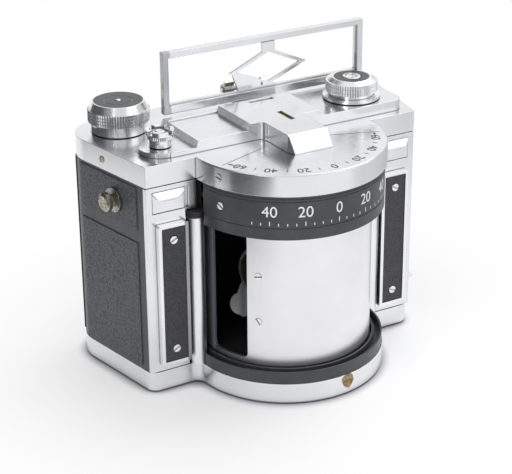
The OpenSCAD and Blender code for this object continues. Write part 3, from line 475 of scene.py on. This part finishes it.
def level_glass():
    """Level vials: pale glass across the camera, golden fluid in the one that points forward."""
    s = Shader("level_glass", (0.34, 0.31, 0.10), roughness=0.08)
    across = s.spread(s.along((0, 1, 0)), VIAL_SPLIT_Y - 1, VIAL_SPLIT_Y + 1)
    gold = s.mix(s.spread(s.noise(3.5, detail=2), 0.4, 0.6), (0.10, 0.075, 0.02), (0.42, 0.34, 0.12))
    pale = s.mix(s.noise(4, detail=2), (0.66, 0.68, 0.66), (0.82, 0.84, 0.83))
    s.set("Base Color", s.mix(across, gold, pale))
    s.set("Roughness", s.spread(s.noise(1.5, detail=2), 0.3, 0.7, 0.05, 0.12))
    s.set("Coat Weight", 1.0)
    s.set("Coat Roughness", 0.03)
    return s


def fill_paint(name, low, high):
    """Paint wiped into an engraving."""
    s = Shader(name, high, roughness=0.55)
    fine = s.noise(0.25, detail=3)
    s.set("Base Color", s.mix(s.noise(0.8, detail=3), low, high))
    s.set("Roughness", s.spread(fine, 0.3, 0.7, 0.48, 0.62))
    s.set("Normal", s.bump(fine, 0.01, 0.25, s.rounded(0.02)))
    return s


slots = {
    "satin_chrome": satin_chrome(),
    "polished_chrome": polished_chrome(),
    "drum_silver": drum_silver(),
    "steel": steel(),
    "brass": brass(),
    "old_nickel": old_nickel(),
    "black_paint": black_paint(),
    "black_band": black_band(),
    "black_disc": black_disc(),
    "leatherette": leatherette(),
    "level_glass": level_glass(),
    "lens_glass": lens_glass(),
}
screw = screw_nickel()
enamel = body_paint()
knob = knob_chrome()
own = {
    "wind_knob": knob,
    "setting_knob": knob,
    "release_collar": knob,
    "release_button": knob,
    "base_plate": base_chrome(),
    "columns": post_chrome(),
    "bezels": bezel_chrome(),
    "finder_frame": finder_chrome(),
    "finder_wing": wing_nickel(),
    "case_screws": screw,
    "drum_screws": screw,
    "aperture_lever": lever_steel(),
    "body_shell": enamel,
    "back_cover": enamel,
    "lens_barrel": lens_black(),
    "front_leather": insert_leather(),
}


def dress_nodes():
    """Gives each CAD node its own material, or that of its slot."""
    for part in frame["record"]["subparts"]:
        node = part["node"]
        shader = own.get(node) or slots[part["material_slot"]]
        mesh = nodes[node].data
        mesh.materials.clear()
        mesh.materials.append(shader.mat)


# Engraved marks: flat prisms bent onto the surface that carries them
MARK_H = 0.05
white_fill = fill_paint("white_fill", (0.70, 0.71, 0.70), (0.86, 0.87, 0.86))
black_fill = fill_paint("black_fill", (0.02, 0.021, 0.022), (0.05, 0.052, 0.055))


def on_band(z):
    """Places u (along the band), v (up) and w (outwards), in mm, on the black band at height z."""
    def place(u, v, w):
        a = u / band_r
        r = band_r + w
        return Vector((r * math.sin(a), -r * math.cos(a), z + v)) * MM
    return place


def on_cover(radius):
    """Places u (along an arc about the drum axis), v (outwards) and w (up) on the cover."""
    def place(u, v, w):
        a = u / radius
        r = radius + v
        return Vector((-r * math.sin(a), -r * math.cos(a), top_z + w)) * MM
    return place


def on_cover_flat(u, v, w):
    """Plain x, y on the cover."""
    return Vector((u, v, top_z + w)) * MM


class Marks:
    """Collects closed prisms of one colour into one piece."""

    def __init__(self):
        self.bm = bmesh.new()

    def strip(self, left, right, place):
        """A closed ribbon between two rows of u, v points of the same length."""
        rows = []
        for a, b in zip(left, right):
            corners = [(a, 0.0), (b, 0.0), (b, MARK_H), (a, MARK_H)]
            rows.append([self.bm.verts.new(place(p[0], p[1], w)) for p, w in corners])
        for r0, r1 in zip(rows, rows[1:]):
            for i in range(4):
                j = (i + 1) % 4
                self.bm.faces.new((r0[i], r0[j], r1[j], r1[i]))
        self.bm.faces.new(rows[0][::-1])
        self.bm.faces.new(rows[-1])

    def line(self, p, q, width, place, steps=1):
        p, q = Vector(p), Vector(q)
        side = (q - p).normalized().orthogonal() * width / 2
        points = [p.lerp(q, i / steps) for i in range(steps + 1)]
        self.strip([a + side for a in points], [a - side for a in points], place)

    def triangle(self, tip, back, width, place):
        tip, back = Vector(tip), Vector(back)
        side = (back - tip).normalized().orthogonal() * width / 2
        thin = side * 0.02
        self.strip([tip + thin, back + side], [tip - thin, back - side], place)

    def number(self, text, center, size, place):
        curve = bpy.data.curves.new("number", "FONT")
        curve.body = text
        curve.size = size
        curve.align_x = "CENTER"
        curve.align_y = "CENTER"
        curve.extrude = MARK_H / 2
        holder = bpy.data.objects.new("number", curve)
        bpy.context.scene.collection.objects.link(holder)
        bpy.context.view_layer.update()
        mesh = bpy.data.meshes.new_from_object(holder.evaluated_get(bpy.context.evaluated_depsgraph_get()))
        for v in mesh.vertices:
            v.co = place(center[0] + v.co.x, center[1] + v.co.y, v.co.z + MARK_H / 2)
        self.bm.from_mesh(mesh)
        bpy.data.objects.remove(holder)
        bpy.data.curves.remove(curve)
        bpy.data.meshes.remove(mesh)

    def piece(self, name, shader, slot, body):
        bmesh.ops.remove_doubles(self.bm, verts=self.bm.verts, dist=1e-7)
        bmesh.ops.recalc_face_normals(self.bm, faces=self.bm.faces)
        add_piece(name, self.bm, shader, slot, body)


def add_piece(name, bm, shader, slot, body):
    mesh = bpy.data.meshes.new(name)
    bm.to_mesh(mesh)
    bm.free()
    mesh.materials.append(shader.mat)
    obj = bpy.data.objects.new(name, mesh)
    bpy.context.scene.collection.objects.link(obj)
    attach(obj, body)
    return obj


def band_scale():
    """Degree scale in white on the black band."""
    step, number_step, reach = 5, 20, 50
    drop, number_v, number_size = 8.6, 1.0, 7.0
    foot, short, long, width = -5.2, 1.2, 2.0, 0.36
    marks = Marks()
    place = on_band(seam_z - drop)
    for degrees in range(-reach, reach + 1, step):
        numbered = degrees % number_step == 0
        u = math.radians(degrees) * band_r
        marks.line((u, foot), (u, foot + (long if numbered else short)), width, place)
        if numbered:
            marks.number(str(abs(degrees)), (u, number_v), number_size, place)
    marks.piece("band_scale", white_fill, "black_band", "body")


def cover_scale():
    """Sector marks and a plain degree scale on the cover above the drum."""
    step, number_step, reach = 10, 20, 60
    number_v, number_size = -0.3, 6.0
    arrow_from, arrow_neck, arrow_tip, sector = 61.5, 66, 69, 70
    inner, outer = 13.0, cover_r - 2.6
    radius = cover_r - 5.4
    marks = Marks()
    arc = on_cover(radius)

    def around(degrees):
        return math.radians(degrees) * radius

    for degrees in range(-reach, reach + 1, step):
        u = around(degrees)
        if degrees % number_step:
            marks.line((u, -1.2), (u, 0.8), 0.4, arc)
        else:
            marks.number(str(abs(degrees)), (u, number_v), number_size, arc)
    for sign in (-1, 1):
        start, neck, tip = (around(sign * a) for a in (arrow_from, arrow_neck, arrow_tip))
        marks.line((start, 0), (neck, 0), 0.3, arc, steps=6)
        marks.triangle((tip, 0), (neck, 0), 1.6, arc)
        a = math.radians(sign * sector)
        far = Vector((math.sin(a), -math.cos(a)))
        marks.line(far * inner, far * outer, 0.25, on_cover_flat)
    marks.piece("cover_scale", black_fill, "satin_chrome", "body")


# Small turned caps on the knobs
def turned(name, profile, center, shader, slot, body, steps=48):
    """Solid of revolution from radius, height points in mm, about an upright axis."""
    bm = bmesh.new()
    rings = []
    for r, z in profile:
        if r == 0:
            rings.append([bm.verts.new(Vector((center.x, center.y, z)) * MM)])
            continue
        angles = [2 * math.pi * i / steps for i in range(steps)]
        spots = [Vector((center.x + r * math.cos(a), center.y + r * math.sin(a), z)) * MM for a in angles]
        rings.append([bm.verts.new(p) for p in spots])
    for low, high in zip(rings, rings[1:]):
        for i in range(steps):
            j = (i + 1) % steps
            corners = [low[i % len(low)], low[j % len(low)], high[j % len(high)], high[i % len(high)]]
            bm.faces.new(list(dict.fromkeys(corners)))
    bmesh.ops.recalc_face_normals(bm, faces=bm.faces)
    obj = add_piece(name, bm, shader, slot, body)
    obj.data.shade_smooth()


def knob_caps():
    """Screw in the wind knob's disc and cap in the setting knob's ring."""
    wind = middle("wind_disc")
    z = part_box("wind_disc")[1].z / MM
    turned("wind_screw", [(0, z - 0.2), (1.25, z - 0.2), (1.25, z + 0.1), (1.0, z + 0.28), (0, z + 0.36)],
           wind, slots["polished_chrome"], "polished_chrome", "wind", 32)
    setting = middle("setting_disc")
    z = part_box("setting_disc")[0].z / MM
    turned("setting_cap", [(0, z - 0.1), (4.4, z - 0.1), (4.4, z + 0.55), (4.05, z + 0.9), (3.2, z + 0.95),
                           (2.9, z + 0.8), (1.5, z + 0.78), (1.2, z + 0.95), (0, z + 1.0)],
           setting, slots["polished_chrome"], "polished_chrome", "setting")


# Camera, fitted to the photograph's 512 x 474 frame
IMAGE_W, IMAGE_H = 512, 474
FOCAL_PX = 1583.364
CENTER_PX = (257.931, 232.970)
EYE = Vector((-343.142, -565.654, 355.019))
RIGHT = Vector((0.863175, -0.504861, -0.006678))
UP = Vector((0.208876, 0.345017, 0.915060))


def add_camera():
    data = bpy.data.cameras.new("camera")
    data.sensor_width = 36
    data.lens = FOCAL_PX / IMAGE_W * data.sensor_width
    data.shift_x = (IMAGE_W / 2 - CENTER_PX[0]) / IMAGE_W
    data.shift_y = (CENTER_PX[1] - IMAGE_H / 2) / IMAGE_W
    data.clip_start = 0.01
    data.clip_end = 50
    camera = bpy.data.objects.new("camera", data)
    back = RIGHT.cross(UP)
    axes = Matrix((RIGHT, UP, back)).transposed().to_4x4()
    camera.matrix_world = Matrix.Translation(EYE * MM) @ axes
    bpy.context.scene.collection.objects.link(camera)
    bpy.context.scene.camera = camera


# Floor, world, cards and lamps, in metres unless a name says otherwise
FLOOR_R = 20.0
FLOOR_DROP = 0.0002
FLOOR_TONE = (0.975, 0.973, 0.985)
CONTACT_TONE = (0.20, 0.20, 0.24)
CONTACT_REACH_MM = 8
WHITE_FROM_MM, WHITE_TO_MM = 60, 170


def add_floor():
    """Pale floor, shaded where it meets the object and turning to white away from it."""
    bm = bmesh.new()
    bmesh.ops.create_circle(bm, cap_ends=True, radius=FLOOR_R, segments=64)
    mesh = bpy.data.meshes.new("floor")
    bm.to_mesh(mesh)
    bm.free()
    s = Shader("floor_white", FLOOR_TONE, roughness=0.5)
    s.set("Roughness", s.spread(s.noise(300, detail=2), 0.3, 0.7, 0.45, 0.55))
    s.set("Specular IOR Level", 0.2)
    path = s.node("ShaderNodeLightPath").outputs
    seen = s.either(s.either(path["Is Camera Ray"], path["Is Glossy Ray"]), path["Is Transmission Ray"])
    near = s.node("ShaderNodeAmbientOcclusion", samples=12)
    near.inputs["Distance"].default_value = CONTACT_REACH_MM * MM
    shade = s.spread(near.outputs["AO"], 0.85, 0.30)
    s.set("Base Color", s.mix(shade, FLOOR_TONE, CONTACT_TONE))
    away = s.spread(s.axis_distance(0, 15), WHITE_FROM_MM, WHITE_TO_MM, 0.30, 0.95)
    away = s.both(away, s.spread(shade, 0.0, 0.5, 1.0, 0.0))
    white = s.node("ShaderNodeEmission")
    white.inputs["Color"].default_value = (1, 1, 1, 1)
    white.inputs["Strength"].default_value = 1.0
    blend = s.node("ShaderNodeMixShader")
    s.link(s.both(seen, away), blend.inputs[0])
    s.link(s.bsdf.outputs[0], blend.inputs[1])
    s.link(white.outputs[0], blend.inputs[2])
    s.link(blend.outputs[0], s.tree.nodes["Material Output"].inputs["Surface"])
    mesh.materials.append(s.mat)
    floor = bpy.data.objects.new("floor", mesh)
    floor.location.z = -FLOOR_DROP
    bpy.context.scene.collection.objects.link(floor)


# Directions of the world's dark zone and of its white backdrop
DARK_SIDE = Vector((-0.52, 0.80, 0.36)).normalized()
BACKDROP = Vector((0.46, 0.75, 0.47)).normalized()
DARK_TONE = (0.08, 0.083, 0.09)


def add_world():
    """White light, strongest overhead and behind on the right, with a dark zone behind on the left."""
    world = bpy.data.worlds.new("studio")
    bpy.context.scene.world = world
    world.use_nodes = True
    w = Nodes(world.node_tree, "Generated")
    height = w.along((0, 0, 1))
    sky = w.mix(w.spread(height, 0.0, 1.0), (0.52, 0.522, 0.53), (0.90, 0.90, 0.90))
    sky = w.mix(w.spread(w.along(BACKDROP), 0.70, 0.92), sky, (1.0, 1.0, 1.0))
    near = w.both(w.spread(w.along(DARK_SIDE), 0.66, 0.90), w.spread(height, 0.02, 0.10))
    background = world.node_tree.nodes["Background"]
    w.link(w.mix(near, sky, DARK_TONE), background.inputs["Color"])
    background.inputs["Strength"].default_value = 1.0


def add_card(name, x, front, rear, top, low, high):
    """Upright card at x, from front to rear in y and up to top, seen only in the object's reflections."""
    bm = bmesh.new()
    corners = [(x, front, 0), (x, rear, 0), (x, rear, top), (x, front, top)]
    bm.faces.new([bm.verts.new(c) for c in corners])
    mesh = bpy.data.meshes.new(name)
    bm.to_mesh(mesh)
    bm.free()
    s = Shader(name, high, roughness=0.9)
    s.set("Base Color", s.mix(s.noise(60, detail=2), low, high))
    mesh.materials.append(s.mat)
    card = bpy.data.objects.new(name, mesh)
    card.visible_camera = False
    card.visible_diffuse = False
    card.visible_shadow = False
    bpy.context.scene.collection.objects.link(card)


def add_cards():
    """Dark cards on the left and a pale one on the right."""
    deep = (0.05, 0.052, 0.056)
    add_card("dark_card", -0.29, -0.16, 0.60, 0.45, deep, DARK_TONE)
    add_card("front_card", -0.22, -0.24, 0.0, 0.20, deep, DARK_TONE)
    add_card("pale_card", 0.20, -0.24, 0.22, 0.16, (0.82, 0.825, 0.83), (0.88, 0.885, 0.89))


def add_softbox(name, place, target, size, power):
    """Area lamp at place, turned to target."""
    data = bpy.data.lights.new(name, "AREA")
    data.shape = "RECTANGLE"
    data.size, data.size_y = size
    data.energy = power
    lamp = bpy.data.objects.new(name, data)
    lamp.location = place
    lamp.rotation_euler = (Vector(target) - Vector(place)).to_track_quat("-Z", "Y").to_euler()
    bpy.context.scene.collection.objects.link(lamp)


def add_light():
    add_world()
    center = (0, 0.01, 0.06)
    add_softbox("key", (0.85, 0.15, 1.2), center, (0.9, 0.9), 6)
    add_softbox("fill", (0.75, -1.1, 0.8), center, (1.1, 1.1), 2.6)
    add_softbox("side", (-0.9, -0.45, 0.42), center, (0.5, 0.4), 2.5)


dress_nodes()
band_scale()
cover_scale()
knob_caps()
add_camera()
add_floor()
add_cards()
add_light()
bpy.context.scene.view_settings.view_transform = "Standard"
